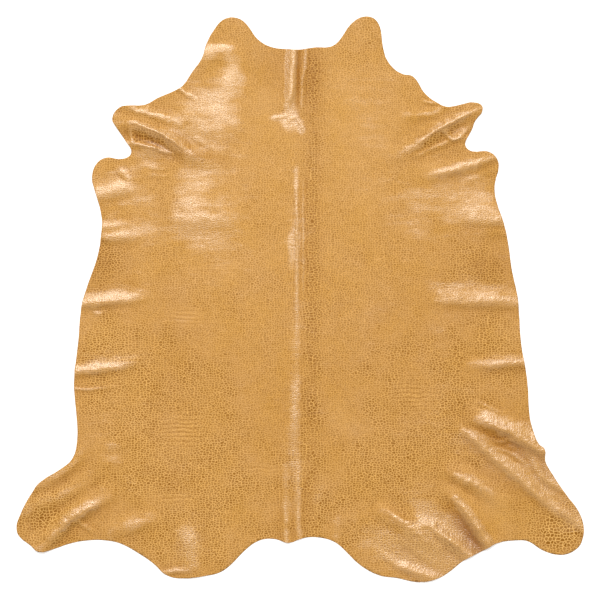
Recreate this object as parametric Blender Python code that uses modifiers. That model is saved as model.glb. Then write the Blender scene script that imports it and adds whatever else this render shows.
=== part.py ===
"""A whole cow hide in pebble grained leather, laid out flat with its grain side up.

Metres, +Z up. The hide lies in the XY plane with its neck towards +Y. The origin is the middle of its
length and its width, on the surface that it lies on. It is one uncut piece of leather: its outline is
that of the trimmed hide, and it rises off the surface only along its folds.
"""
import math

import bmesh
import bpy
import numpy as np

for old_object in list(bpy.data.objects):
    bpy.data.objects.remove(old_object, do_unlink=True)

# Driving sizes, in metres
THICKNESS = 0.002
LENGTH = 2.264
WIDTH = 2.270
CELL = 0.010
SHEET_TRIANGLES = 5300
LEAST_RISE = 0.0004
OUTLINE_STEPS = 3
MM = 0.001

# The outline, clockwise from the middle of the neck, one short table for each part of the animal.
# Columns: x_mm, y_mm
OUTLINE = {
    "neck": (
        (-49, 1000),
        (-16, 997),
        (60, 1008),
        (124, 1011),
    ),
    "right_ear": (
        (156, 1033),
        (206, 1103),
        (266, 1132),
        (312, 1109),
        (330, 1017),
        (354, 947),
        (410, 900),
    ),
    "right_foreleg": (
        (446, 895),
        (472, 868),
        (495, 829),
        (554, 782),
        (584, 770),
        (620, 773),
        (710, 785),
        (731, 764),
        (698, 709),
        (688, 677),
        (661, 625),
    ),
    "right_shoulder": (
        (664, 608),
        (688, 591),
        (748, 592),
        (780, 572),
        (795, 537),
        (778, 455),
        (786, 389),
        (814, 305),
    ),
    "right_flank": (
        (834, 217),
        (847, 119),
        (869, 17),
        (876, -60),
        (885, -183),
        (909, -320),
        (918, -460),
        (930, -519),
        (956, -581),
    ),
    "right_hind_leg": (
        (976, -596),
        (980, -645),
        (1004, -691),
        (1070, -789),
        (1112, -843),
        (1134, -905),
        (1130, -960),
        (1110, -995),
        (1050, -1023),
        (968, -1003),
        (912, -967),
        (860, -965),
    ),
    "right_rump": (
        (785, -976),
        (738, -1002),
        (650, -1048),
        (606, -1084),
        (560, -1113),
        (474, -1132),
        (388, -1114),
        (326, -1107),
        (244, -1066),
        (178, -1003),
    ),
    "tail": (
        (140, -971),
        (64, -951),
        (10, -956),
        (-46, -974),
        (-94, -960),
        (-134, -958),
    ),
    "left_rump": (
        (-170, -968),
        (-207, -992),
        (-282, -1067),
        (-320, -1093),
        (-374, -1105),
        (-484, -1117),
        (-535, -1103),
        (-582, -1060),
        (-640, -1019),
        (-716, -977),
    ),
    "left_hind_leg": (
        (-770, -965),
        (-860, -965),
        (-930, -980),
        (-981, -998),
        (-1046, -1009),
        (-1072, -987),
        (-1125, -946),
        (-1134, -915),
        (-1124, -875),
        (-1066, -765),
        (-1045, -736),
        (-945, -671),
        (-910, -638),
    ),
    "left_flank": (
        (-892, -575),
        (-892, -480),
        (-904, -340),
        (-886, -167),
        (-875, -39),
        (-852, 49),
        (-813, 159),
        (-795, 250),
        (-793, 330),
    ),
    "left_shoulder": (
        (-818, 427),
        (-832, 492),
        (-811, 546),
        (-770, 568),
        (-724, 561),
        (-683, 572),
        (-674, 594),
        (-690, 623),
    ),
    "left_foreleg": (
        (-736, 689),
        (-751, 722),
        (-720, 768),
        (-690, 774),
        (-622, 777),
        (-565, 807),
        (-504, 833),
        (-470, 852),
        (-429, 912),
    ),
    "left_ear": (
        (-392, 963),
        (-374, 1021),
        (-340, 1083),
        (-302, 1122),
        (-246, 1124),
        (-210, 1096),
        (-168, 1038),
        (-112, 1008),
    ),
}

# The folds, each a crest line with the width of its slope on the left and on the right of the line, as
# seen when going along it.
# Columns: name, left_mm, right_mm, rows of x_mm, y_mm, crest_mm
FOLDS = (
    ("spine_at_neck", 22, 46, (
        (-12, 1080, 8), (-20, 1000, 9), (-24, 933, 9), (-27, 869, 8), (-34, 809, 7), (-62, 755, 0),
    )),
    ("spine_at_loin", 34, 34, (
        (-22, -290, 0), (-24, -380, 4), (-22, -480, 4), (-26, -590, 0),
    )),
    ("tail_left_ridge", 26, 26, (
        (-56, -600, 0), (-56, -720, 6), (-55, -850, 8), (-53, -960, 9), (-50, -1040, 9),
    )),
    ("tail_right_ridge", 24, 26, (
        (-2, -610, 0), (-4, -720, 6), (-4, -850, 8), (2, -950, 8), (6, -1030, 8),
    )),
    ("left_ear_fold", 38, 84, (
        (-470, 930, 7), (-410, 972, 8), (-350, 1000, 10), (-300, 1006, 10), (-250, 985, 7),
        (-235, 930, 0),
    )),
    ("left_foreleg_top", 44, 40, (
        (-770, 812, 8), (-705, 780, 9), (-655, 757, 11), (-596, 738, 11), (-530, 722, 9),
        (-455, 700, 0),
    )),
    ("left_foreleg_main", 52, 46, (
        (-830, 728, 6), (-745, 716, 10), (-673, 704, 17), (-624, 688, 21), (-560, 664, 22),
        (-512, 636, 19), (-455, 592, 13), (-380, 560, 7), (-300, 545, 0),
    )),
    ("left_foreleg_low", 24, 22, (
        (-760, 632, 8), (-690, 627, 10), (-640, 618, 12), (-588, 606, 11), (-520, 584, 0),
    )),
    ("left_shoulder_ridge", 60, 42, (
        (-900, 440, 5), (-840, 430, 6), (-790, 425, 9), (-720, 440, 9), (-640, 458, 0),
    )),
    ("left_armpit_ridge", 60, 24, (
        (-880, 252, 8), (-830, 250, 9), (-760, 246, 10), (-690, 247, 8), (-610, 250, 0),
    )),
    ("left_flank_upper", 58, 24, (
        (-940, -24, 10), (-870, -20, 11), (-800, -14, 12), (-700, -4, 9), (-575, 8, 0),
    )),
    ("left_flank_lower", 46, 22, (
        (-970, -298, 9), (-900, -292, 10), (-800, -282, 11), (-715, -268, 8), (-620, -248, 0),
    )),
    ("left_thigh_edge", 24, 26, (
        (-1130, -764, 6), (-1050, -743, 7), (-960, -697, 9), (-890, -640, 7), (-850, -560, 0),
    )),
    ("left_shank_ridge", 44, 60, (
        (-1170, -858, 6), (-1090, -834, 8), (-1000, -800, 10), (-900, -752, 10), (-790, -650, 0),
    )),
    ("left_hind_main", 84, 36, (
        (-1080, -1060, 14), (-1020, -985, 16), (-970, -930, 20), (-915, -880, 23), (-855, -842, 20),
        (-790, -800, 11), (-720, -760, 0),
    )),
    ("left_hind_inner", 66, 40, (
        (-800, -950, 0), (-735, -924, 8), (-665, -902, 11), (-610, -885, 8), (-540, -855, 0),
    )),
    ("left_rump_swell", 60, 60, (
        (-470, -880, 0), (-445, -950, 7), (-425, -1030, 7), (-410, -1100, 6), (-395, -1180, 6),
    )),
    ("right_foreleg_top", 34, 24, (
        (395, 733, 0), (450, 740, 7), (510, 742, 9), (565, 758, 8), (600, 790, 7), (630, 850, 7),
    )),
    ("right_foreleg_main", 32, 66, (
        (830, 800, 7), (755, 775, 8), (690, 750, 10), (645, 726, 13), (588, 698, 16),
        (530, 662, 16), (468, 618, 12), (415, 585, 7), (340, 556, 0),
    )),
    ("right_armpit_ridge", 64, 40, (
        (450, 492, 0), (516, 502, 6), (580, 512, 10), (640, 526, 13), (710, 546, 11), (790, 573, 9),
        (860, 600, 8),
    )),
    ("right_shoulder_swell", 130, 42, (
        (600, 330, 0), (690, 322, 9), (760, 318, 12), (830, 320, 11), (900, 324, 9),
    )),
    ("right_shoulder_hem", 20, 24, (
        (680, 268, 0), (730, 270, 5), (800, 272, 7), (860, 272, 7), (930, 272, 6),
    )),
    ("right_flank_upper", 72, 30, (
        (500, -4, 0), (600, -6, 8), (720, -10, 12), (800, -12, 12), (880, -16, 10), (950, -18, 9),
    )),
    ("right_flank_lower", 44, 24, (
        (640, -262, 0), (710, -264, 7), (800, -262, 11), (900, -254, 9), (980, -250, 8),
    )),
    ("right_thigh_main", 84, 34, (
        (660, -462, 0), (728, -488, 13), (790, -512, 17), (850, -538, 18), (905, -572, 17),
        (980, -610, 14), (1050, -640, 12),
    )),
    ("right_thigh_line", 60, 28, (
        (600, -480, 0), (684, -549, 10), (780, -635, 13), (872, -711, 13), (948, -783, 12),
        (1010, -838, 9), (1080, -900, 0),
    )),
    ("right_hock_ridge", 70, 40, (
        (550, -660, 0), (610, -694, 11), (670, -722, 17), (730, -755, 17), (790, -800, 10),
        (850, -850, 0),
    )),
    ("right_hind_main", 70, 34, (
        (560, -740, 0), (612, -790, 13), (665, -850, 18), (705, -910, 20), (740, -960, 18),
        (780, -1020, 16), (820, -1080, 15),
    )),
    ("right_rump_upper", 62, 44, (
        (285, -828, 0), (345, -858, 9), (405, -896, 13), (465, -938, 14), (520, -978, 12),
        (590, -1018, 0),
    )),
    ("right_rump_outer", 64, 30, (
        (410, -868, 0), (482, -898, 10), (548, -932, 14), (604, -970, 15), (660, -1014, 14),
        (722, -1064, 12), (785, -1112, 11),
    )),
    ("right_rump_hem", 30, 30, (
        (370, -1062, 0), (430, -1075, 7), (500, -1108, 8), (570, -1140, 7), (630, -1170, 7),
    )),
)


def rounded_path(rows, steps=5):
    """Points along the smooth curve through the rows, each with the crest height there."""
    rows = np.array(rows, dtype=float) * MM
    before = np.vstack([2 * rows[0] - rows[1], rows[:-1]])
    after = np.vstack([rows[1:], 2 * rows[-1] - rows[-2]])
    slope = (after - before) / 2
    points = []
    for i in range(len(rows) - 1):
        for t in np.arange(steps) / steps:
            a = 2 * t ** 3 - 3 * t ** 2 + 1
            b = t ** 3 - 2 * t ** 2 + t
            c = 3 * t ** 2 - 2 * t ** 3
            d = t ** 3 - t ** 2
            points.append(a * rows[i] + b * slope[i] + c * rows[i + 1] + d * slope[i + 1])
    points.append(rows[-1])
    return np.array(points)


def fold_rise(spots, rows, left, right):
    """How far one fold lifts the leather at each spot: a soft ridge that dies away on both sides."""
    path = rounded_path(rows)
    nearest = np.full(len(spots), 1e9)
    rise = np.zeros(len(spots))
    for start, end in zip(path[:-1], path[1:]):
        along = end[:2] - start[:2]
        offset = spots - start[:2]
        share = np.clip(offset @ along / (along @ along), 0, 1)
        gap = offset - share[:, None] * along
        distance = np.hypot(gap[:, 0], gap[:, 1])
        side = along[0] * offset[:, 1] - along[1] * offset[:, 0]
        reach = np.where(side > 0, left, right)
        crest = start[2] + share * (end[2] - start[2])
        lift = crest * (1 + np.cos(math.pi * np.clip(distance / reach, 0, 1))) / 2
        closer = distance < nearest
        nearest = np.where(closer, distance, nearest)
        rise = np.where(closer, lift, rise)
    return np.maximum(rise, 0)


def leather_rise(spots):
    """The height of the flesh side above the surface: where folds meet, the higher one leads."""
    total = np.zeros(len(spots))
    for name, left_mm, right_mm, rows in FOLDS:
        total += fold_rise(spots, rows, left_mm * MM, right_mm * MM) ** 3
    total = np.cbrt(total)
    return np.where(total < LEAST_RISE, 0, total)


def mesh_of(source):
    """A plain mesh of what the object looks like with its modifiers."""
    view = bpy.context.evaluated_depsgraph_get()
    return bpy.data.meshes.new_from_object(source.evaluated_get(view))


def leather_material():
    """Tan leather with a soft gloss."""
    material = bpy.data.materials.new("tan_leather")
    material.use_nodes = True
    shader = material.node_tree.nodes["Principled BSDF"]
    shader.inputs["Base Color"].default_value = (0.60, 0.31, 0.09, 1)
    shader.inputs["Roughness"].default_value = 0.42
    shader.inputs["Metallic"].default_value = 0
    return material


hide_parts = bpy.data.collections.new("cow_hide")
hide_cutters = bpy.data.collections.new("cow_hide_cutters")
bpy.context.scene.collection.children.link(hide_parts)
bpy.context.scene.collection.children.link(hide_cutters)

# The trimming knife: the outline as a smooth closed curve, extruded past both sides of the leather.
outline_rows = [row for part in OUTLINE.values() for row in part]
outline_curve = bpy.data.curves.new("outline", "CURVE")
outline_curve.dimensions = "2D"
outline_curve.fill_mode = "BOTH"
outline_curve.resolution_u = OUTLINE_STEPS
outline_curve.extrude = 0.08
spline = outline_curve.splines.new("BEZIER")
spline.bezier_points.add(len(outline_rows) - 1)
for point, (x_mm, y_mm) in zip(spline.bezier_points, outline_rows):
    point.co = (x_mm * MM, y_mm * MM, 0)
    point.handle_left_type = "AUTO"
    point.handle_right_type = "AUTO"
spline.use_cyclic_u = True
outline_object = bpy.data.objects.new("outline", outline_curve)
hide_cutters.objects.link(outline_object)
knife_mesh = mesh_of(outline_object)
bpy.data.objects.remove(outline_object)
knife_shape = bmesh.new()
knife_shape.from_mesh(knife_mesh)
bmesh.ops.remove_doubles(knife_shape, verts=knife_shape.verts, dist=0.00001)
bmesh.ops.recalc_face_normals(knife_shape, faces=knife_shape.faces)
xs = [vertex.co.x for vertex in knife_shape.verts]
ys = [vertex.co.y for vertex in knife_shape.verts]
middle = ((min(xs) + max(xs)) / 2, (min(ys) + max(ys)) / 2)
fit = (WIDTH / (max(xs) - min(xs)), LENGTH / (max(ys) - min(ys)))
for vertex in knife_shape.verts:
    vertex.co.x = (vertex.co.x - middle[0]) * fit[0]
    vertex.co.y = (vertex.co.y - middle[1]) * fit[1]
knife_shape.to_mesh(knife_mesh)
knife_shape.free()
knife = bpy.data.objects.new("outline_knife", knife_mesh)
knife.location = (0, 0, 0.02)
knife.hide_render = True
knife.display_type = "WIRE"
hide_cutters.objects.link(knife)

# The leather before trimming: a square sheet, raised along the folds, with wide faces where it is flat.
side = max(LENGTH, WIDTH) + 0.08
cells = round(side / CELL)
bpy.ops.mesh.primitive_grid_add(x_subdivisions=cells, y_subdivisions=cells, size=side)
blank = bpy.context.object
spots = np.empty(len(blank.data.vertices) * 3)
blank.data.vertices.foreach_get("co", spots)
spots = spots.reshape(-1, 3)
spots[:, 2] = leather_rise(spots[:, :2])
blank.data.vertices.foreach_set("co", spots.ravel())
thin_out = blank.modifiers.new("Wide faces where flat", "DECIMATE")
thin_out.ratio = SHEET_TRIANGLES / (2 * cells * cells)
sheet_mesh = mesh_of(blank)
bpy.data.objects.remove(blank)
for vertex in sheet_mesh.vertices:
    if vertex.co.z < LEAST_RISE:
        vertex.co.z = 0

sheet_mesh.name = "hide"
hide = bpy.data.objects.new("hide", sheet_mesh)
hide.data.materials.append(leather_material())
hide_parts.objects.link(hide)
substance = hide.modifiers.new("Leather thickness", "SOLIDIFY")
substance.thickness = THICKNESS
substance.offset = 1
trim = hide.modifiers.new("Trimmed outline", "BOOLEAN")
trim.operation = "INTERSECT"
trim.object = knife
hide.data.shade_smooth()
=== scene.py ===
import math

import bmesh
import bpy
import numpy as np
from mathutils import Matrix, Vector, noise
from mathutils.bvhtree import BVHTree


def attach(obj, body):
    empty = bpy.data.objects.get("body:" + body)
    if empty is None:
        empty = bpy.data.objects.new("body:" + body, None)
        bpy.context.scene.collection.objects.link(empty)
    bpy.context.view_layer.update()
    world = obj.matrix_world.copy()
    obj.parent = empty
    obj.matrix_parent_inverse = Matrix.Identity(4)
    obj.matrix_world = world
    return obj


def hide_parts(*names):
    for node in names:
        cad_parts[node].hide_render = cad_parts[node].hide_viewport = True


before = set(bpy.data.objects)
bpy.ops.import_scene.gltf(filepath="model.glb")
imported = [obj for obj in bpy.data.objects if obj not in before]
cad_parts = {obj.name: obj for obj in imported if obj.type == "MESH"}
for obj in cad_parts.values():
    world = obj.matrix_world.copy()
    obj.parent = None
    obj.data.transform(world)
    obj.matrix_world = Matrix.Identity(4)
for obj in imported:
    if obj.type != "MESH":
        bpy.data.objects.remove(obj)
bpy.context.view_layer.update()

# The hide: one whole cow hide in full grain leather, tanned, dyed tan and glazed, with a pressed
# pebble grain on top and a napped flesh side below. It is knife trimmed and laid out flat, and it
# keeps the soft folds of the legs, flanks and spine.
TOUCHING = 0.00002  # lengths are in metres, except where a name or a column says mm
LEAST_UPWARD = 0.3
leather = bmesh.new()
leather.from_mesh(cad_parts["hide"].data)
bmesh.ops.remove_doubles(leather, verts=leather.verts, dist=TOUCHING)
leather.normal_update()
under = [face for face in leather.faces if face.normal.z < LEAST_UPWARD]
bmesh.ops.delete(leather, geom=under, context="FACES")
grain_side = BVHTree.FromBMesh(leather)

# Its trimmed outline, from the rim of the solid's grain side, rounded and left a millimetre uneven
# as a hand knife leaves it.
RIM_STEP = 0.0005
KNIFE_WOBBLE = 0.0009
inner = [edge for edge in leather.edges if not edge.is_boundary]
bmesh.ops.delete(leather, geom=leather.faces[:], context="FACES_ONLY")
bmesh.ops.delete(leather, geom=inner, context="EDGES")
loose = [vertex for vertex in leather.verts if not vertex.link_edges]
bmesh.ops.delete(leather, geom=loose, context="VERTS")
for vertex in leather.verts:
    vertex.co.z = 0
bmesh.ops.remove_doubles(leather, verts=leather.verts, dist=RIM_STEP)
bmesh.ops.subdivide_edges(leather, edges=leather.edges[:], cuts=2)
for _ in range(3):
    bmesh.ops.smooth_vert(leather, verts=leather.verts, factor=0.5, use_axis_x=True, use_axis_y=True)
for vertex in leather.verts:
    sideways = noise.noise(vertex.co * 14) + 0.5 * noise.noise(vertex.co * 45)
    lengthways = noise.noise(vertex.co * 14 + Vector((7, 3, 0)))
    vertex.co += Vector((sideways, lengthways, 0)) * KNIFE_WOBBLE
bmesh.ops.contextual_create(leather, geom=leather.edges[:])

# The height of the solid's folds, read on an even grid and softened, so that its wide faces don't
# show. Widths of softening are in grid steps.
PITCH = 0.006
REACH = 1.20
HALF_HIDE = 1.14
FOLD_SOFTENING = 1.2
ticks = np.arange(-REACH, REACH + PITCH, PITCH)
lifted = np.zeros((len(ticks), len(ticks)))
known = np.zeros((len(ticks), len(ticks)))
for i, y in enumerate(ticks):
    for j, x in enumerate(ticks):
        if abs(x) < HALF_HIDE and abs(y) < HALF_HIDE:
            hit = grain_side.ray_cast(Vector((x, y, 1)), Vector((0, 0, -1)))[0]
            if hit:
                lifted[i, j] = hit.z
                known[i, j] = 1


def softened(field, width):
    """The field blurred along both axes by a bell curve of this width, in grid steps."""
    span = np.arange(-3 * width, 3 * width + 1)
    bell = np.exp(-0.5 * (span / width) ** 2)
    field = np.apply_along_axis(lambda line: np.convolve(line, bell, "same"), 0, field)
    return np.apply_along_axis(lambda line: np.convolve(line, bell, "same"), 1, field)


def read_at(field, flat):
    """The field's value at each spot, between its four nearest grid points."""
    column = (flat[:, 0] + REACH) / PITCH
    row = (flat[:, 1] + REACH) / PITCH
    j = np.floor(column).astype(int)
    i = np.floor(row).astype(int)
    u = column - j
    v = row - i
    low = field[i, j] * (1 - u) + field[i, j + 1] * u
    high = field[i + 1, j] * (1 - u) + field[i + 1, j + 1] * u
    return low * (1 - v) + high * v


NOTHING = 1e-6
nearby = np.maximum(softened(known, FOLD_SOFTENING), NOTHING)
folds = softened(lifted * known, FOLD_SOFTENING) / nearby

# Its own smaller creases and wrinkles, on top of the folds: crest lines with the width of the slope
# on each side, read in the order of the points.
# Columns: name, left_mm, right_mm, rows of x_mm, y_mm, rise_mm
CREASES = (
    ("neck_ridge_beside_spine", 18, 18,
     ((24, 1040, 3), (20, 933, 4), (8, 869, 4), (6, 789, 3), (4, 730, 0))),
    ("back_line", 10, 9, ((-18, 500, 0), (-14, 380, 2.5), (-12, 200, 3), (-12, 60, 3), (-12, -80, 0))),
    ("back_line_right", 8, 9,
     ((14, 540, 0), (12, 400, 1.8), (13, 240, 2), (13, 80, 1.5), (12, -40, 0))),
    ("spine_band_edge", 20, 34,
     ((-10, -60, 0), (-8, -150, 2), (-6, -290, 2), (-4, -400, 2.5), (-6, -600, 0))),
    ("tail_swell", 46, 44, ((70, -720, 0), (68, -800, 3.5), (66, -890, 0))),
    ("left_ear_curl", 60, 60, ((-250, 985, 0), (-268, 915, 4), (-296, 850, 4), (-312, 790, 0))),
    ("left_ear_rim", 16, 18, ((-510, 866, 5), (-466, 833, 6), (-424, 806, 3), (-385, 776, 0))),
    ("left_armpit_swell", 30, 26, ((-645, 590, 0), (-604, 582, 5), (-565, 572, 0))),
    ("left_shoulder_bead", 26, 24, ((-745, 524, 0), (-700, 500, 5), (-655, 466, 0))),
    ("left_shoulder_swell", 190, 90,
     ((-560, 345, 0), (-480, 337, 8), (-390, 335, 9), (-290, 335, 7), (-200, 342, 0))),
    ("neck_left_swell", 170, 80,
     ((-540, 716, 0), (-470, 700, 6), (-360, 690, 7), (-260, 694, 5), (-190, 706, 0))),
    ("left_armpit_fold", 30, 26, ((-860, 284, 4), (-790, 290, 5), (-700, 300, 4), (-630, 302, 0))),
    ("spine_crest_at_neck", 16, 30,
     ((-14, 1040, 2), (-20, 985, 3), (-24, 933, 3), (-27, 869, 3), (-36, 809, 3), (-64, 752, 0))),
    ("neck_wrinkle_left", 14, 12, ((-130, 722, 0), (-90, 727, 2.2), (-45, 734, 1), (-30, 740, 0))),
    ("neck_wrinkle_right", 14, 12,
     ((-66, 694, 0), (-40, 716, 1.8), (-16, 724, 2), (6, 694, 2), (16, 660, 0))),
    ("tail_side_ridge", 30, 26, ((146, -990, 3), (146, -900, 2.5), (152, -830, 0))),
    ("left_foreleg_notch", 16, 14, ((-684, 690, 0), (-677, 664, 4), (-672, 640, 4), (-668, 612, 0))),
    ("left_foreleg_low_edge", 14, 12,
     ((-690, 628, 0), (-650, 619, 3), (-600, 608, 5), (-545, 591, 4), (-490, 572, 0))),
    ("left_foreleg_crest", 14, 10,
     ((-690, 712, 0), (-640, 696, 3), (-580, 674, 5), (-520, 640, 5), (-470, 606, 2), (-430, 586, 0))),
    ("left_foreleg_upper", 30, 30,
     ((-700, 782, 2), (-655, 760, 3), (-596, 741, 3), (-530, 724, 3), (-450, 704, 0))),
    ("left_foreleg_end", 24, 16,
     ((-440, 652, 0), (-404, 634, 2), (-366, 612, 1.8), (-332, 593, 1.2), (-290, 568, 0))),
    ("left_armpit_arc", 16, 16, ((-655, 538, 0), (-600, 528, 1.6), (-550, 521, 1.8), (-500, 518, 0))),
    ("left_armpit_arc_low", 16, 14,
     ((-640, 508, 0), (-590, 498, 1.6), (-530, 494, 1.6), (-470, 500, 0))),
    ("left_thigh_bead_upper", 40, 34, ((-810, -592, 0), (-746, -588, 2.5), (-690, -588, 0))),
    ("left_thigh_bead_lower", 40, 34, ((-810, -640, 0), (-754, -646, 2.5), (-690, -650, 0))),
    ("left_hind_crest", 20, 14,
     ((-1000, -955, 1), (-955, -915, 1.2), (-915, -880, 1.2), (-862, -845, 1), (-800, -808, 0))),
    ("left_hind_valley_ridge", 20, 18,
     ((-905, -884, 0), (-872, -901, 3.5), (-842, -920, 3.5), (-812, -938, 0))),
    ("left_rump_hem", 26, 18,
     ((-590, -1104, 3), (-540, -1091, 4.5), (-484, -1087, 4.5), (-420, -1086, 0))),
    ("right_foreleg_low", 20, 16,
     ((690, 650, 3), (640, 641, 3.5), (580, 625, 4), (516, 599, 4), (468, 577, 3), (420, 560, 0))),
    ("right_foreleg_crest", 12, 16,
     ((740, 768, 0), (690, 750, 3), (645, 728, 5), (588, 700, 5), (530, 664, 4), (460, 620, 0))),
    ("right_armpit_crest", 30, 22,
     ((500, 498, 0), (570, 510, 2), (640, 526, 3), (710, 548, 3), (790, 576, 2))),
    ("right_shoulder_crease", 26, 20,
     ((640, 462, 0), (690, 482, 2.5), (740, 505, 3), (800, 530, 3), (850, 548, 2))),
    ("right_thigh_wrinkle", 16, 14, ((690, -404, 0), (730, -420, 2), (784, -443, 2), (840, -460, 0))),
    ("right_thigh_crest", 20, 14,
     ((700, -478, 0), (740, -494, 0.8), (800, -518, 1.2),
      (860, -545, 1.2), (920, -582, 1), (990, -620, 1))),
    ("right_thigh_arc_upper", 16, 14,
     ((750, -556, 0), (800, -568, 2.5), (850, -566, 2.5), (900, -590, 0))),
    ("right_thigh_arc_lower", 16, 14,
     ((760, -590, 0), (820, -606, 2.5), (880, -640, 2.5), (930, -690, 0))),
    ("right_line_crest", 20, 12,
     ((640, -512, 0), (700, -566, 1), (780, -637, 1.2), (872, -713, 1.2),
      (948, -785, 1), (1000, -830, 0))),
    ("right_hock_crest", 22, 12,
     ((590, -682, 0), (640, -710, 1), (700, -738, 1.2), (750, -766, 1), (800, -806, 0))),
    ("right_hind_crest", 20, 12,
     ((600, -774, 0), (640, -820, 1.2), (690, -886, 1.6), (730, -942, 1.6), (765, -998, 1))),
    ("right_rump_streak_upper", 26, 20,
     ((300, -826, 0), (360, -854, 2), (430, -900, 3), (500, -952, 2), (570, -1000, 0))),
    ("right_rump_streak_middle", 22, 18,
     ((420, -884, 0), (480, -918, 2), (530, -952, 2), (580, -990, 0))),
    ("right_rump_streak_lower", 22, 18,
     ((470, -890, 0), (540, -924, 2), (604, -966, 3), (664, -1012, 2), (720, -1060, 0))),
    ("right_rump_streak_low", 46, 30,
     ((360, -930, 0), (430, -976, 5), (500, -1024, 5), (570, -1066, 0))),
    ("right_rump_edge", 30, 20, ((450, -1080, 0), (520, -1105, 4), (590, -1128, 4), (650, -1150, 2))),
    ("right_rump_wave", 26, 20, ((300, -1000, 0), (360, -1044, 3), (430, -1078, 3), (500, -1094, 0))),
    ("right_hind_outer", 30, 24,
     ((895, -588, 0), (930, -640, 4), (962, -700, 5), (1010, -740, 5), (1070, -770, 4))),
    ("left_flank_bead", 12, 12, ((-838, -52, 0), (-812, -56, 3), (-786, -60, 0))),
    ("left_flank_wrinkle", 13, 11,
     ((-930, -354, 3), (-850, -360, 3.5), (-780, -353, 2), (-700, -345, 0))),
    ("right_foreleg_rim", 13, 13, ((495, 792, 3), (538, 786, 5), (578, 792, 3))),
    ("right_foreleg_pocket", 30, 15,
     ((564, 704, 0), (580, 664, 6), (608, 641, 7), (646, 655, 7), (672, 690, 2))),
    ("right_hind_tip_swell", 36, 30,
     ((990, -815, 0), (1050, -846, 6), (1096, -886, 6), (1160, -940, 5))),
)


def rounded_path(rows, steps=5):
    """Points along the smooth curve through the rows, each with its rise."""
    rows = np.array(rows, dtype=float) * 0.001
    before = np.vstack([2 * rows[0] - rows[1], rows[:-1]])
    after = np.vstack([rows[1:], 2 * rows[-1] - rows[-2]])
    slope = (after - before) / 2
    points = []
    for k in range(len(rows) - 1):
        for t in np.arange(steps) / steps:
            points.append(
                (2 * t**3 - 3 * t**2 + 1) * rows[k]
                + (t**3 - 2 * t**2 + t) * slope[k]
                + (3 * t**2 - 2 * t**3) * rows[k + 1]
                + (t**3 - t**2) * slope[k + 1]
            )
    return np.array(points + [rows[-1]])


def crease_rise(flat, rows, left, right):
    """How far one crease lifts the leather at each spot."""
    path = rounded_path(rows)
    reach = max(left, right) * 0.001
    near = np.all((flat > path[:, :2].min(0) - reach) & (flat < path[:, :2].max(0) + reach), axis=1)
    nearest = np.full(near.sum(), 1e9)
    rise = np.zeros(near.sum())
    for start, end in zip(path[:-1], path[1:]):
        along = end[:2] - start[:2]
        offset = flat[near] - start[:2]
        share = np.clip(offset @ along / (along @ along), 0, 1)
        gap = offset - share[:, None] * along
        distance = np.hypot(gap[:, 0], gap[:, 1])
        side = along[0] * offset[:, 1] - along[1] * offset[:, 0]
        width = np.where(side > 0, left, right) * 0.001
        crest = start[2] + share * (end[2] - start[2])
        lift = crest * (1 + np.cos(math.pi * np.clip(distance / width, 0, 1))) / 2
        closer = distance < nearest
        nearest = np.where(closer, distance, nearest)
        rise = np.where(closer, lift, rise)
    whole = np.zeros(len(flat))
    whole[near] = np.maximum(rise, 0)
    return whole


# The hide's whole relief on the same grid, the level round each spot, and how sharply it bends.
LEVEL_SOFTENING = 7
here, there = np.meshgrid(ticks, ticks)
grid = np.column_stack([here.ravel(), there.ravel()])
relief = folds.ravel().copy()
for name, left_mm, right_mm, rows in CREASES:
    relief += crease_rise(grid, rows, left_mm, right_mm)
relief = relief.reshape(folds.shape)
nearby = np.maximum(softened(known, LEVEL_SOFTENING), NOTHING)
level = softened(relief * known, LEVEL_SOFTENING) / nearby
bending = np.zeros(relief.shape)
around = relief[2:, 1:-1] + relief[:-2, 1:-1] + relief[1:-1, 2:] + relief[1:-1, :-2]
bending[1:-1, 1:-1] = np.abs(around - 4 * relief[1:-1, 1:-1]) / PITCH**2

# The flat sheet, cut along two sets of lines so that it can bend, and finer where it bends more.
CELL = 0.0135
CUT_SNAP = 0.00001
SLIVER = 0.0002
SHORTEST_EDGE = 0.004
# Columns: least_bend per metre, spread in grid steps
FINER_ZONES = ((4.5, 2), (30, 1))
for axis in (0, 1):
    across = Vector((1 - axis, axis, 0))
    low = min(vertex.co[axis] for vertex in leather.verts)
    high = max(vertex.co[axis] for vertex in leather.verts)
    for step in range(1, int((high - low) / CELL) + 1):
        whole = leather.verts[:] + leather.edges[:] + leather.faces[:]
        cut = across * (low + step * CELL)
        bmesh.ops.bisect_plane(leather, geom=whole, dist=CUT_SNAP, plane_co=cut, plane_no=across)
bmesh.ops.remove_doubles(leather, verts=leather.verts, dist=SLIVER)
bmesh.ops.triangulate(leather, faces=[face for face in leather.faces if len(face.verts) > 4])
for least_bend, spread in FINER_ZONES:
    zone = softened((bending > least_bend).astype(float), spread) > 0.6
    middles = np.array([face.calc_center_median()[:2] for face in leather.faces])
    finer = read_at(zone.astype(float), middles) > 0.5
    leather.faces.index_update()
    edges = [
        edge
        for edge in leather.edges
        if edge.calc_length() > SHORTEST_EDGE and any(finer[face.index] for face in edge.link_faces)
    ]
    bmesh.ops.subdivide_edges(leather, edges=edges, cuts=1, use_grid_fill=True)
    bmesh.ops.triangulate(leather, faces=[face for face in leather.faces if len(face.verts) > 4])
bmesh.ops.recalc_face_normals(leather, faces=leather.faces)
if sum(face.normal.z for face in leather.faces) < 0:
    bmesh.ops.reverse_faces(leather, faces=leather.faces)

hide_mesh = bpy.data.meshes.new("hide_leather")
leather.to_mesh(hide_mesh)
leather.free()
spots = np.empty(len(hide_mesh.vertices) * 3)
hide_mesh.vertices.foreach_get("co", spots)
spots = spots.reshape(-1, 3)
flat = spots[:, :2].copy()

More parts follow.
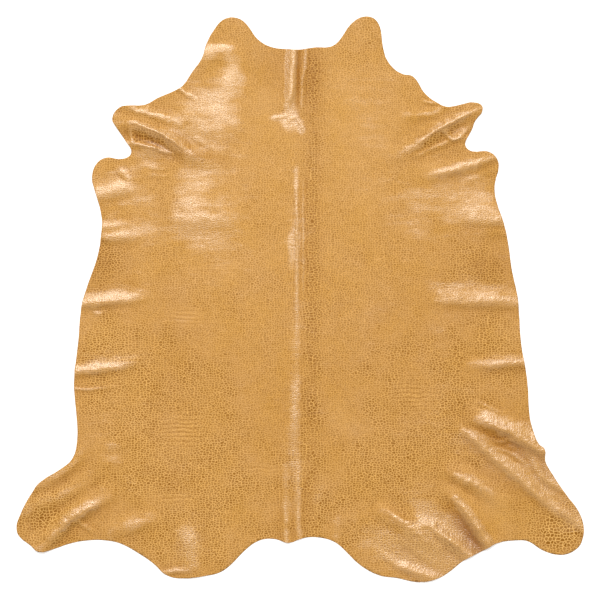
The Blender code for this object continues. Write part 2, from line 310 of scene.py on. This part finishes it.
# No crease is straight or even, so each spot reads the folds from a few millimetres to one side,
# and their height varies by up to about a fifth. The seed keeps all of it the same in each run.
STRAY = 0.0034
UNEVEN = 0.16
PROUD = 0.006
noise.seed_set(7)
wander = np.array([
    noise.noise_vector(Vector((x * 22, y * 22, 1)))
    + 0.6 * noise.noise_vector(Vector((x * 60, y * 60, 4)))
    for x, y in flat
])
strayed = flat + STRAY * wander[:, :2]
height = read_at(folds, strayed)
for name, left_mm, right_mm, rows in CREASES:
    height += crease_rise(strayed, rows, left_mm, right_mm)
height *= 1 + UNEVEN * wander[:, 2]
above = (height - read_at(level, flat)) / PROUD

# A hide never dries dead flat: slow swells of a millimetre or two.
SWELL = 0.0022
slow = np.array([
    noise.noise(Vector((x * 3.1, y * 4.3, 0.4))) + 0.4 * noise.noise(Vector((x * 9, y * 11, 5)))
    for x, y in flat
])
height += SWELL * np.clip(slow + 0.15, 0, None)
spots[:, 2] = height
hide_mesh.vertices.foreach_set("co", spots.ravel())
hide_mesh.update()

# Where the hide differs from place to place, as soft patches: a coarser or finer grain, skin rubbed
# glossy or left dull, wrinkles pressed flat, and darker or paler places, partly dye that varies and
# partly painted shade along fold troughs, spine grooves and slopes turned from the light.
# Columns: x_mm, y_mm, half_width_mm, half_length_mm, turn_deg, amount
PATCHES = {
    "coarse": (
        (50, 440, 26, 330, 0, 0.6),
        (52, -60, 25, 330, 0, 0.36),
        (46, -600, 30, 420, 0, 0.4),
        (268, 1050, 60, 90, 0, 0.45),
        (50, 900, 30, 130, 0, 0.55),
        (-1030, -880, 110, 120, 30, 0.75),
        (1040, -930, 120, 110, -30, 0.85),
        (-600, 636, 100, 40, -25, 0.75),
        (540, 655, 120, 34, 28, 0.6),
        (-780, 170, 70, 110, 0, 0.45),
        (720, 145, 110, 90, 0, 0.5),
        (-540, -450, 320, 440, 0, 0.52),
        (520, -450, 360, 440, 0, 0.45),
        (0, -820, 620, 220, 0, 0.25),
        (-800, -200, 90, 140, 0, 0.3),
        (820, -160, 90, 140, 0, 0.3),
        (-430, -1000, 160, 90, 0, 0.3),
        (470, -1020, 170, 90, 0, 0.4),
        (764, -829, 56, 120, 44, -0.8),
        (-150, 780, 130, 170, 0, -0.3),
        (250, 680, 150, 260, 0, -0.3),
        (162, -480, 46, 56, 0, -0.8),
        (-330, 120, 160, 300, 0, -0.15),
        (640, 480, 120, 60, 0, -0.15),
    ),
    "gloss": (
        (620, 690, 50, 40, 25, 0.45),
        (-540, 420, 34, 100, 0, -0.45),
        (-352, 1004, 46, 13, 8, 0.5),
        (-620, 570, 40, 34, 0, 0.5),
        (-34, 170, 28, 170, 0, 0.2),
        (450, -1020, 150, 60, -25, 1.3),
        (640, -1010, 70, 40, -45, 0.7),
        (598, -690, 44, 40, 0, -0.5),
        (600, -780, 36, 40, 0, -0.5),
        (-1010, -960, 60, 50, 40, -0.5),
        (-400, 500, 76, 44, 0, 0.55),
        (-386, 430, 60, 50, 0, 0.3),
        (-540, 560, 70, 40, -10, 0.35),
        (-400, 574, 90, 18, -12, -0.35),
        (560, -985, 80, 28, -40, 0.5),
        (-350, 320, 140, 110, 0, 0.18),
        (-330, 790, 130, 80, 0, 0.65),
        (-258, 900, 44, 62, 20, 0.95),
        (-400, 640, 140, 50, -20, 0.45),
        (-720, 470, 70, 60, 0, 0.5),
        (-600, 400, 150, 60, 0, 0.35),
        (-500, 270, 200, 50, 0, 0.42),
        (-770, 300, 60, 30, 0, 0.35),
        (-340, 190, 120, 90, 0, 0.2),
        (-84, 728, 34, 12, 0, 0.9),
        (-52, 705, 16, 16, 0, 0.9),
        (-16, 716, 12, 26, 0, 0.9),
        (6, 684, 12, 26, 0, 0.9),
        (240, 770, 110, 130, 0, 0.2),
        (-16, 470, 9, 60, 0, 0.8),
        (-14, 235, 11, 66, 0, 1.0),
        (-36, 215, 11, 50, 0, 1.0),
        (-560, 609, 60, 14, -20, 0.5),
        (600, 714, 130, 18, 30, -0.15),
        (560, 532, 70, 16, 15, -0.3),
        (600, 54, 70, 22, 0, 0.4),
        (-820, -50, 60, 28, 0, 0.4),
        (600, -560, 150, 90, -30, 0.2),
        (-40, 880, 22, 170, 0, 0.3),
        (-12, 30, 6, 110, 0, 0.6),
        (-38, 920, 15, 120, 0, 1.5),
        (720, 410, 66, 70, 0, 0.2),
        (570, 390, 170, 120, 0, 0.48),
        (-760, 20, 110, 30, 5, 0.5),
        (720, 48, 150, 28, 0, 0.4),
        (-800, -255, 90, 24, 8, 0.5),
        (780, -228, 90, 20, 0, 0.3),
        (580, -935, 160, 60, -38, 1.25),
        (410, -850, 80, 36, -30, -0.6),
        (680, -880, 110, 26, -54, 0.6),
        (790, -650, 170, 30, -41, 0.5),
        (-445, -970, 50, 70, 0, 0.6),
        (876, -540, 100, 38, -30, 1.15),
        (976, -690, 60, 100, 30, 0.9),
        (1110, -860, 60, 60, -45, 0.6),
        (764, -829, 55, 110, 44, -0.6),
        (-24, -300, 26, 280, 0, 0.3),
        (-24, -660, 24, 190, 0, 0.4),
        (-52, 800, 18, 50, 0, 0.4),
        (-36, 1000, 14, 60, 0, 0.3),
        (-170, 880, 90, 130, 0, -0.5),
        (-740, -612, 50, 44, 0, 0.25),
        (-690, -720, 50, 40, 0, 0.35),
    ),
    "wrinkled": (
        (-455, -70, 60, 30, 0, 1.1),
        (-468, -525, 66, 56, 0, 1.1),
        (-505, -797, 66, 16, 0, 1.0),
        (-140, -682, 66, 16, 0, 0.9),
        (450, -383, 70, 50, -8, 0.9),
        (-330, 130, 90, 24, 5, 0.6),
    ),
    # Painted shade for the most part: darker colour along fold troughs, in the groove and on the slope
    # beside the spine, and on slopes that face away from the light, with a few broad patches of deeper
    # or paler dye.
    "dye_and_painted_shade": (
        (50, 420, 28, 330, 0, 0.2),
        (52, -200, 26, 400, 0, 0.1),
        (-500, -363, 80, 340, 0, 0.11),
        (460, -430, 70, 200, 0, 0.06),
        (-110, 940, 66, 90, 0, 0.2),
        (-400, 574, 90, 18, -12, 0.25),
        (-315, 955, 50, 50, 0, -0.3),
        (692, -985, 22, 50, 39, 0.45),
        (60, -480, 800, 400, 0, 0.05),
        (560, -60, 260, 560, 0, 0.04),
        (50, 900, 34, 120, 0, 0.35),
        (-8, 900, 9, 130, 0, 0.5),
        (-600, 735, 110, 30, -18, -0.3),
        (46, -600, 28, 420, 0, 0.08),
        (-600, 636, 100, 28, -25, 0.3),
        (-790, 140, 70, 80, 0, 0.3),
        (760, 140, 90, 60, 0, 0.3),
        (820, -570, 32, 150, 61, 0.35),
        (662, -915, 24, 80, 39, 0.55),
        (764, -829, 50, 110, 44, -0.2),
    ),
}

# What stands above its surroundings is rubbed shiny, and the hollows and low places get painted shade:
# a darker colour where less light falls.
# Columns: patch, on_crests, in_hollows, high_up, low_down
WEAR = (
    ("gloss", 0.5, 0, 0.55, 0),
    ("coarse", -0.15, 0, -0.15, 0),
    ("wrinkled", 0, 0, 0, 0),
    ("dye_and_painted_shade", 0, 0.2, 0, 0.2),
)
SHARP_BEND = 36
LEAST_APART = 0.002
ends = np.empty(len(hide_mesh.edges) * 2, dtype=int)
hide_mesh.edges.foreach_get("vertices", ends)
ends = ends.reshape(-1, 2)
apart = np.maximum(np.linalg.norm(flat[ends[:, 0]] - flat[ends[:, 1]], axis=1), LEAST_APART)


def averaged(values, rounds):
    """Each vertex's value averaged with its neighbours' values."""
    for _ in range(rounds):
        total = values + 0
        weight = np.ones(len(values))
        for a, b in ((0, 1), (1, 0)):
            np.add.at(total, ends[:, a], values[ends[:, b]])
            np.add.at(weight, ends[:, a], 1)
        values = total / weight
    return values


bend = np.zeros(len(flat))
for a, b in ((0, 1), (1, 0)):
    np.add.at(bend, ends[:, a], (height[ends[:, b]] - height[ends[:, a]]) / apart**2)
bend = averaged(bend, 2)
crest = averaged(np.clip(-bend / SHARP_BEND, 0, 1), 3)
hollow = np.clip(bend / SHARP_BEND, 0, 1)
high = averaged(np.clip(above, 0, 1), 2)
deep = averaged(np.clip(-above, 0, 1), 2)
for patch, on_crests, in_hollows, high_up, low_down in WEAR:
    amount = on_crests * crest + in_hollows * hollow
    amount += high_up * high
    amount += low_down * deep
    for x_mm, y_mm, half_width, half_length, turn, most in PATCHES[patch]:
        offset = flat * 1000 - (x_mm, y_mm)
        c, s = math.cos(math.radians(turn)), math.sin(math.radians(turn))
        across = (offset[:, 0] * c + offset[:, 1] * s) / half_width
        along = (offset[:, 1] * c - offset[:, 0] * s) / half_length
        amount += most * np.exp(-0.7 * (across**2 + along**2))
    hide_mesh.attributes.new(patch, "FLOAT", "POINT").data.foreach_set("value", amount)


def colour(hex_code):
    """A colour written as sRGB hex, turned to the linear values that shaders take."""
    parts = [int(hex_code[i : i + 2], 16) / 255 for i in (0, 2, 4)]
    return [p / 12.92 if p <= 0.04045 else ((p + 0.055) / 1.055) ** 2.4 for p in parts] + [1]


def add_node(tree, kind, label, settings=None, links=None):
    """Adds one shader node, sets its properties and sockets, and links what feeds it.

    Sockets go by name, or by number where several share a name: in a Mix node the share is 0, two
    numbers are 2 and 3, and two colours are 6 and 7.
    """
    made = tree.nodes.new("ShaderNode" + kind)
    made.label = label
    for key, value in (settings or {}).items():
        if isinstance(key, str) and key in made.bl_rna.properties:
            setattr(made, key, value)
        else:
            made.inputs[key].default_value = value
    for key, source in (links or {}).items():
        tree.links.new(source, made.inputs[key])
    return made


# Full grain leather, pressed with a pebble grain, dyed tan and glazed: a golden skin with a satin
# light of its own, brighter where the folds have rubbed it and matt in the sunk cells.
grain = bpy.data.materials.new("glazed_pebble_grain_leather")
grain.use_nodes = True
tree = grain.node_tree
tree.nodes.clear()
place = add_node(tree, "TexCoord", "Place on the hide").outputs["Object"]
coarse = add_node(tree, "Attribute", "Coarse places", {"attribute_name": "coarse"}).outputs["Fac"]
gloss = add_node(tree, "Attribute", "Rubbed glossy places", {"attribute_name": "gloss"}).outputs["Fac"]
dye_and_painted_shade = add_node(tree, "Attribute", "Darker dye and painted shade", {"attribute_name": "dye_and_painted_shade"}).outputs["Fac"]

# The pebble grain is a raised net around sunk cells, 10.4 by 7.6 mm on the back, 11.8 by 8.8 mm on
# the belly and rump and 13.5 by 12.2 mm at the legs and spine, as they measure in the photo.
drift = add_node(
    tree, "TexNoise", "Cells aren't regular", {"Scale": 16.0, "Detail": 3.0, "Roughness": 0.6},
    {"Vector": place},
)
drift = add_node(
    tree, "VectorMath", "Drift about zero", {"operation": "SUBTRACT", 1: (0.5, 0.5, 0.5)},
    {0: drift.outputs["Color"]},
)
drifted = add_node(
    tree, "VectorMath", "Drifted place", {"operation": "MULTIPLY_ADD", 1: (0.03, 0.022, 0)},
    {0: drift.outputs[0], 2: place},
).outputs[0]
patchy = add_node(
    tree, "TexNoise", "Grain comes and goes", {"Scale": 9.0, "Detail": 3.0}, {"Vector": place},
).outputs[0]
varied = add_node(
    tree, "MapRange", "Coarser and finer spots",
    {"From Min": 0.3, "From Max": 0.7, "To Min": -0.1, "To Max": 0.1}, {"Value": patchy},
)
coarseness = add_node(
    tree, "Math", "How coarse", {"operation": "ADD", "use_clamp": True},
    {0: coarse, 1: varied.outputs[0]},
).outputs[0]
# Columns: name, across_mm, up_mm, top_at, floor_at, starts_at, full_at
SIZES = (
    ("back", 10.4, 7.6, 0.06, 0.28, None, None),
    ("belly", 11.8, 8.8, 0.05, 0.24, 0.12, 0.42),
    ("leg", 13.5, 12.2, 0.04, 0.19, 0.5, 0.8),
)
cells = None
for size, across_mm, up_mm, top_at, floor_at, starts_at, full_at in SIZES:
    scaled = add_node(
        tree, "VectorMath", f"{size} spacing",
        {"operation": "MULTIPLY", 1: (1000 / across_mm, 1000 / up_mm, 0)}, {0: drifted},
    )
    even = {"voronoi_dimensions": "2D", "Scale": 1.0, "Randomness": 0.76}
    net = add_node(
        tree, "TexVoronoi", f"{size} net", {"feature": "DISTANCE_TO_EDGE", **even},
        {"Vector": scaled.outputs[0]},
    )
    each = add_node(
        tree, "TexVoronoi", f"{size} cells", {"feature": "F1", **even}, {"Vector": scaled.outputs[0]},
    )
    sunk = add_node(
        tree, "MapRange", f"{size} sunk cells",
        {"interpolation_type": "SMOOTHSTEP", "From Min": top_at, "From Max": floor_at},
        {"Value": net.outputs[0]},
    )
    split = add_node(tree, "SeparateColor", "One value for each cell", None, {0: each.outputs["Color"]})
    depth = add_node(
        tree, "MapRange", "Cells differ", {"To Min": 0.7, "To Max": 1.0}, {"Value": split.outputs[0]},
    )
    made = add_node(
        tree, "Math", f"{size} grain", {"operation": "MULTIPLY"},
        {0: sunk.outputs[0], 1: depth.outputs[0]},
    ).outputs[0]
    if cells is None:
        cells = made
    else:
        which = add_node(
            tree, "MapRange", f"Where {size} grain starts",
            {"interpolation_type": "SMOOTHSTEP", "From Min": starts_at, "From Max": full_at},
            {"Value": coarseness},
        )
        cells = add_node(
            tree, "Mix", f"{size} grain joins", {"data_type": "FLOAT"},
            {0: which.outputs[0], 2: cells, 3: made},
        ).outputs[0]
# Where the skin was wrinkled the cells run together in lines. The wave has 3.18 bands in each unit,
# so a scale of 18 puts them 17 mm apart.
wrinkled = add_node(tree, "Attribute", "Wrinkled places", {"attribute_name": "wrinkled"}).outputs["Fac"]
lines = add_node(
    tree, "TexWave", "Wrinkles 17 mm apart",
    {"bands_direction": "Y", "Scale": 18.0, "Distortion": 3.0, "Detail": 2.0, "Detail Scale": 1.2},
    {"Vector": drifted},
)
lines = add_node(
    tree, "MapRange", "Soft wrinkles", {"From Min": 0.15, "From Max": 0.9, "To Max": 0.62},
    {"Value": lines.outputs["Fac"]},
)
lined = add_node(
    tree, "Mix", "Wrinkles over cells", {"data_type": "FLOAT", 0: 0.62},
    {2: cells, 3: lines.outputs[0]},
)
cells = add_node(
    tree, "Mix", "Wrinkles join", {"data_type": "FLOAT"}, {0: wrinkled, 2: cells, 3: lined.outputs[0]},
).outputs[0]

# The glaze is rubbed up in patches with ragged edges, broken by streaks that run across the hide
# and are about 140 by 33 mm. The grain is fainter there and on the neck.
cloud = add_node(
    tree, "TexNoise", "Dye drift", {"Scale": 5.0, "Detail": 5.0, "Roughness": 0.65}, {"Vector": place},
)
long_way = add_node(
    tree, "VectorMath", "Streaks run across", {"operation": "MULTIPLY", 1: (7, 30, 0)}, {0: place},
)
streaks = add_node(
    tree, "TexNoise", "Streaks", {"Scale": 1.0, "Detail": 4.0, "Roughness": 0.6, "Distortion": 0.4},
    {"Vector": long_way.outputs[0]},
)
broken = add_node(
    tree, "Math", "Gloss is broken by streaks", {"operation": "MULTIPLY_ADD", 1: 1.1, 2: -0.55},
    {0: streaks.outputs[0]},
)
uneven = add_node(
    tree, "Math", "Gloss is uneven", {"operation": "ADD"}, {0: broken.outputs[0], 1: gloss},
)
ragged = add_node(
    tree, "Math", "Gloss has ragged edges", {"operation": "MULTIPLY_ADD", 1: 0.8},
    {0: cloud.outputs[0], 2: uneven.outputs[0]},
)
rubbed = add_node(
    tree, "MapRange", "Rubbed smooth",
    {"interpolation_type": "SMOOTHSTEP", "From Min": 0.5, "From Max": 1.25},
    {"Value": ragged.outputs[0]},
)
strength = add_node(
    tree, "MapRange", "How strong", {"To Min": 0.72, "To Max": 1.06}, {"Value": coarseness},
)
fainter = add_node(
    tree, "MapRange", "Fainter on the neck",
    {"From Min": -0.3, "From Max": 0.0, "To Min": 0.74, "To Max": 1.0}, {"Value": coarse},
)
polished = add_node(
    tree, "MapRange", "Fainter where rubbed", {"To Min": 1.0, "To Max": 0.8},
    {"Value": rubbed.outputs[0]},
)
fading = add_node(
    tree, "MapRange", "Grain comes and goes",
    {"From Min": 0.32, "From Max": 0.68, "To Min": 0.84, "To Max": 1.15}, {"Value": patchy},
)
for share in (fading, polished, fainter):
    strength = add_node(
        tree, "Math", "How strong here", {"operation": "MULTIPLY"},
        {0: strength.outputs[0], 1: share.outputs[0]},
    )
pattern = add_node(
    tree, "Math", "Grain", {"operation": "MULTIPLY", "use_clamp": True},
    {0: cells, 1: strength.outputs[0]},
).outputs[0]

# The dye is deeper in the sunk cells, and drifts a little from golden to pinkish over the hide. Its
# flecks are the hair pores, drawn about 4 mm apart, which is coarser than real, so that they show.
drifting = add_node(
    tree, "MapRange", "Dye drift", {"From Min": 0.3, "From Max": 0.7}, {"Value": cloud.outputs[0]},
)
dye = add_node(
    tree, "Mix", "Golden to pinkish tan",
    {"data_type": "RGBA", 6: colour("D8A04E"), 7: colour("DCA763")}, {0: drifting.outputs[0]},
)
net_top = add_node(
    tree, "MapRange", "Top of the net",
    {"From Min": 0.0, "From Max": 0.5, "To Min": 0.9, "To Max": 0.0}, {"Value": cells},
)
coarsest = add_node(
    tree, "MapRange", "Coarsest places", {"From Min": 0.22, "From Max": 0.85}, {"Value": coarseness},
)
paler = add_node(
    tree, "Math", "Paler where coarse", {"operation": "MULTIPLY", "use_clamp": True},
    {0: net_top.outputs[0], 1: coarsest.outputs[0]},
)
worn_net = add_node(
    tree, "Mix", "Net is rubbed paler", {"data_type": "RGBA", 7: colour("F3BE6C")},
    {0: paler.outputs[0], 6: dye.outputs[2]},
)
deep = add_node(
    tree, "Mix", "Deeper in the cells", {"data_type": "RGBA", 7: colour("965F10")},
    {0: pattern, 6: worn_net.outputs[2]},
)
# Painted shade: the darker places multiply the colour down in fold troughs, low places and on slopes
# turned from the light, together with some dye that varies.
shade = add_node(
    tree, "Mix", "Darker dye and painted shade", {"data_type": "RGBA", "blend_type": "MULTIPLY", 7: colour("C3A652")},
    {0: dye_and_painted_shade, 6: deep.outputs[2]},
)
fleck = add_node(tree, "TexNoise", "Fine flecks", {"Scale": 260.0, "Detail": 2.0}, {"Vector": place})
flecked = add_node(
    tree, "MapRange", "Fine flecks", {"From Min": 0.3, "From Max": 0.7, "To Min": 0.9, "To Max": 1.1},
    {"Value": fleck.outputs[0]},
)
skin = add_node(
    tree, "VectorMath", "Flecked skin", {"operation": "MULTIPLY"},
    {0: shade.outputs[2], 1: flecked.outputs[0]},
)

# The net stands over small soft wrinkles, 38 by 17 mm, and crinkles, 15 by 8 mm. It is drawn up to
# 1.2 mm high, about twice the height of a real pressed grain, so that it shows from so far above.
stretched = add_node(
    tree, "VectorMath", "Wrinkles run across", {"operation": "MULTIPLY", 1: (26, 60, 0)}, {0: place},
)
wrinkle = add_node(
    tree, "TexNoise", "Small wrinkles", {"Scale": 1.0, "Detail": 3.0, "Roughness": 0.6},
    {"Vector": stretched.outputs[0]},
)
soft = add_node(
    tree, "Bump", "Small wrinkles", {"Strength": 0.6, "Distance": 0.002},
    {"Height": wrinkle.outputs[0]},
)
fine_way = add_node(
    tree, "VectorMath", "Crinkles run across", {"operation": "MULTIPLY", 1: (66, 120, 0)}, {0: place},
)
crinkle = add_node(
    tree, "TexNoise", "Crinkles", {"Scale": 1.0, "Detail": 2.0, "Roughness": 0.5},
    {"Vector": fine_way.outputs[0]},
)
crinkled = add_node(
    tree, "MapRange", "Crinkles where rubbed", {"To Min": 0.0, "To Max": 0.55},
    {"Value": rubbed.outputs[0]},
)
soft = add_node(
    tree, "Bump", "Crinkles", {"Distance": 0.0022},
    {"Strength": crinkled.outputs[0], "Height": crinkle.outputs[0], "Normal": soft.outputs[0]},
)
flatter = add_node(
    tree, "MapRange", "Net is worn flat where rubbed", {"To Min": 0.8, "To Max": 0.42},
    {"Value": rubbed.outputs[0]},
)
net_bump = add_node(
    tree, "Bump", "Net stands up", {"Distance": 0.0012, "invert": True},
    {"Strength": flatter.outputs[0], "Height": cells, "Normal": soft.outputs[0]},
)
rough = add_node(
    tree, "MapRange", "Smoother where rubbed", {"To Min": 0.38, "To Max": 0.28},
    {"Value": rubbed.outputs[0]},
)
rougher = add_node(
    tree, "Math", "Cells are rougher", {"operation": "MULTIPLY_ADD", 1: 0.2},
    {0: pattern, 2: rough.outputs[0]},
)
glaze = add_node(
    tree, "MapRange", "Glaze is thicker where rubbed", {"To Min": 0.06, "To Max": 0.9},
    {"Value": rubbed.outputs[0]},
)
shine = add_node(
    tree, "MapRange", "Shinier where rubbed", {"To Min": 0.22, "To Max": 0.85},
    {"Value": rubbed.outputs[0]},
)
worn = add_node(
    tree, "MapRange", "Glaze stays on the net", {"To Min": 1.0, "To Max": 0.2}, {"Value": pattern},
)
glazed = add_node(
    tree, "Math", "Glaze", {"operation": "MULTIPLY"}, {0: glaze.outputs[0], 1: worn.outputs[0]},
)
finish = add_node(
    tree, "BsdfPrincipled", "Glazed leather",
    {"Coat Roughness": 0.25, "Coat IOR": 1.7, "Specular Tint": colour("FFF1DC")},
    {
        "Base Color": skin.outputs[0], "Normal": net_bump.outputs[0], "Roughness": rougher.outputs[0],
        "Specular IOR Level": shine.outputs[0], "Coat Weight": glazed.outputs[0],
        "Coat Normal": net_bump.outputs[0],
    },
)
add_node(tree, "OutputMaterial", "Surface", None, {"Surface": finish.outputs[0]})

# The flesh side: undyed split fibres, brushed to a nap, dull and paler where they lie flat. The
# fibres are drawn about 2.4 mm long in the pattern, coarser than real, so that they show.
flesh = bpy.data.materials.new("napped_flesh_side")
flesh.use_nodes = True
tree = flesh.node_tree
tree.nodes.clear()
place = add_node(tree, "TexCoord", "Place on the hide").outputs["Object"]
brushed = add_node(
    tree, "TexNoise", "Brushed patches",
    {"Scale": 14.0, "Detail": 6.0, "Roughness": 0.7, "Distortion": 0.6}, {"Vector": place},
)
laid = add_node(
    tree, "MapRange", "Brushed patches", {"From Min": 0.35, "From Max": 0.65},
    {"Value": brushed.outputs[0]},
)
fibre = add_node(
    tree, "TexNoise", "Fibres", {"Scale": 420.0, "Detail": 3.0, "Roughness": 0.8}, {"Vector": place},
)
nap = add_node(
    tree, "Mix", "Dark to pale nap", {"data_type": "RGBA", 6: colour("B88C55"), 7: colour("D3AE7C")},
    {0: laid.outputs[0]},
)
speck = add_node(
    tree, "MapRange", "Fibres", {"From Min": 0.3, "From Max": 0.7, "To Min": 0.82, "To Max": 1.12},
    {"Value": fibre.outputs[0]},
)
suede = add_node(
    tree, "VectorMath", "Fibre colour", {"operation": "MULTIPLY"},
    {0: nap.outputs[2], 1: speck.outputs[0]},
)
fuzz = add_node(
    tree, "Bump", "Fibres stand up", {"Strength": 0.5, "Distance": 0.0006},
    {"Height": fibre.outputs[0]},
)
finish = add_node(
    tree, "BsdfPrincipled", "Suede",
    {"Roughness": 0.95, "Specular IOR Level": 0.2, "Sheen Weight": 0.35, "Sheen Roughness": 0.6},
    {"Base Color": suede.outputs[0], "Normal": fuzz.outputs[0]},
)
add_node(tree, "OutputMaterial", "Surface", None, {"Surface": finish.outputs[0]})

# The cut edge: bare fibre between the dyed skin and the nap, dull and darkened a little by the
# knife. Its layers are drawn about 4 mm long, coarser than real.
edge = bpy.data.materials.new("knife_cut_edge")
edge.use_nodes = True
tree = edge.node_tree
tree.nodes.clear()
place = add_node(tree, "TexCoord", "Place on the hide").outputs["Object"]
layer = add_node(
    tree, "TexNoise", "Cut fibres", {"Scale": 260.0, "Detail": 4.0, "Roughness": 0.7},
    {"Vector": place},
)
bare = add_node(
    tree, "Mix", "Cut fibres", {"data_type": "RGBA", 6: colour("B47C3C"), 7: colour("D9AC6C")},
    {0: layer.outputs[0]},
)
finish = add_node(
    tree, "BsdfPrincipled", "Cut leather", {"Roughness": 0.8, "Specular IOR Level": 0.3},
    {"Base Color": bare.outputs[2]},
)
add_node(tree, "OutputMaterial", "Surface", None, {"Surface": finish.outputs[0]})

# The leather is 2 mm thick. Its flesh side is plainer, stays under the skin, and no part of it lies
# below the surface.
THICKNESS = 0.002
LEAST_THICKNESS = 0.0012
FLESH_SHARE = 0.70
corners = [vertex.co for vertex in hide_mesh.vertices]
skin_side = BVHTree.FromPolygons(corners, [face.vertices for face in hide_mesh.polygons])
hide = bpy.data.objects.new("hide_leather", hide_mesh)
bpy.context.scene.collection.objects.link(hide)
for material in (grain, flesh, edge):
    hide_mesh.materials.append(material)
hide.vertex_groups.new(name="flesh_side")
substance = hide.modifiers.new("Leather substance", "SOLIDIFY")
substance.thickness = THICKNESS
substance.offset = -1
substance.material_offset = 1
substance.material_offset_rim = 2
substance.shell_vertex_group = "flesh_side"
plainer = hide.modifiers.new("Plainer flesh side", "DECIMATE")
plainer.ratio = FLESH_SHARE
plainer.vertex_group = "flesh_side"
bpy.context.view_layer.update()
finished = hide.evaluated_get(bpy.context.evaluated_depsgraph_get())
hide_mesh = bpy.data.meshes.new_from_object(finished)
hide.modifiers.clear()
hide.data = hide_mesh
on_flesh = np.zeros(len(hide_mesh.vertices), dtype=bool)
for side in (True, False):
    for face in hide_mesh.polygons:
        if (face.material_index == 1) == side:
            on_flesh[list(face.vertices)] = side
for vertex, below_skin in zip(hide_mesh.vertices, on_flesh):
    overhead = Vector((vertex.co.x, vertex.co.y, 1))
    skin_above = skin_side.ray_cast(overhead, Vector((0, 0, -1)))[0] if below_skin else None
    if skin_above:
        vertex.co.z = min(vertex.co.z, skin_above.z - LEAST_THICKNESS)
    vertex.co.z = max(vertex.co.z, 0)
hide_mesh.shade_smooth()

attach(hide, "root")
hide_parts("hide")

# The floor: a sheet of plain white studio paper, 30 m across, that the hide is laid on. It is matt,
# and it glows a little, as well lit paper does, so that it comes out almost white. Its top is a hair
# under the hide, so that the two don't flicker.
bpy.ops.mesh.primitive_plane_add(size=30, location=(0, 0, -0.0003))
floor = bpy.context.object
floor.name = "floor"
paper = bpy.data.materials.new("white_studio_paper")
paper.use_nodes = True
matt = paper.node_tree.nodes["Principled BSDF"]
matt.inputs["Base Color"].default_value = (0.82, 0.82, 0.82, 1)
matt.inputs["Roughness"].default_value = 0.9
matt.inputs["Specular IOR Level"].default_value = 0.1
matt.inputs["Emission Color"].default_value = (1, 1, 1, 1)
matt.inputs["Emission Strength"].default_value = 0.4
floor.data.materials.append(paper)

# The light: a pale room all round, one broad soft light that comes from beyond the neck at about
# 56 degrees above the floor, and a soft box 4 m up over the left side of the neck. The broad light
# puts the shine on the side of each fold that faces the neck.
scene = bpy.context.scene
scene.view_settings.view_transform = "Standard"
world = bpy.data.worlds.new("pale_studio")
scene.world = world
world.use_nodes = True
world.node_tree.nodes["Background"].inputs["Color"].default_value = (1, 1, 1, 1)
world.node_tree.nodes["Background"].inputs["Strength"].default_value = 0.448
key = bpy.data.lights.new("head_light", "SUN")
key.energy = 2.15
key.angle = math.radians(40)
head_light = bpy.data.objects.new("head_light", key)
head_light.rotation_euler = Vector((-0.05, 0.56, 0.82)).to_track_quat("Z", "Y").to_euler()
scene.collection.objects.link(head_light)
box_light = bpy.data.lights.new("shoulder_softbox", "AREA")
box_light.shape = "RECTANGLE"
box_light.size = 2.8
box_light.size_y = 1.15
box_light.energy = 31
shoulder_softbox = bpy.data.objects.new("shoulder_softbox", box_light)
shoulder_softbox.location = (-0.55, 0.98, 4.0)
scene.collection.objects.link(shoulder_softbox)

# The camera: 8 m straight above the hide with a long lens, and square to it, so that the whole hide
# shows in its true outline, with the neck at the top, as in the photo.
camera = bpy.data.objects.new("camera", bpy.data.cameras.new("camera"))
camera.location = (-0.0006, -0.003, 8.0)
camera.data.lens = 120
camera.data.sensor_width = 36
scene.collection.objects.link(camera)
scene.camera = camera
